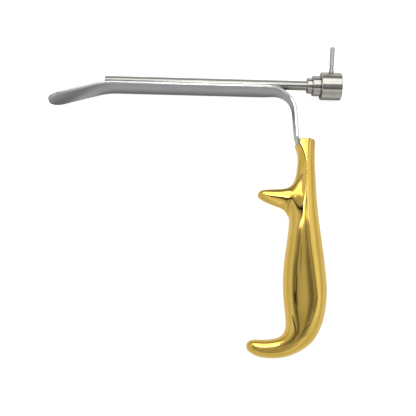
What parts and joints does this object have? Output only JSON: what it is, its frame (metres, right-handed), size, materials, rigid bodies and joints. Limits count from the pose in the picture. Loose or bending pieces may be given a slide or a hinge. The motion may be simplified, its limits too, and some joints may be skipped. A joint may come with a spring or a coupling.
{
  "type": "handheld surgical retractor",
  "caption": "L-shaped surgical retractor with a gilded pistol grip, a bent steel blade with a round tip, a telescope sheath along the blade and a turning lock drum with a lever.",
  "frame": {"origin": "centre of the telescope seat's mouth, at the rear end of the coupling's hub", "axes": "+X along the telescope's axis, out of the seat; +Y from the handle towards the blade and the sheath; +Z across the blade, up when the instrument lies on its side"},
  "size_m": [0.22, 0.2312, 0.028],
  "materials": {
    "gilded": "polished",
    "satin_steel": "satin",
    "bright_steel": "polished",
    "solder": "satin",
    "bronze": "satin",
    "seal_rubber": "matte"
  },
  "bodies": {
    "retractor": {"handle": "gilded", "blade": "satin_steel", "sheath_tube": "bright_steel", "sheath_braze": "solder", "front_ferrule": "bright_steel", "lock_body": "bright_steel", "retaining_nut": "bright_steel", "retaining_washer": "bronze", "friction_ring": "seal_rubber", "telescope_seal": "seal_rubber", "stop_pin": "bright_steel"},
    "lock": {"lock_drum": "bright_steel", "lever_pin": "bright_steel"}
  },
  "joints": [
    {"name": "lock_turn", "type": "hinge", "parent": "retractor", "child": "lock", "pos_m": [-0.006, 0, 0], "axis": [-1, 0, 0], "range_deg": [0, 40]}
  ]
}
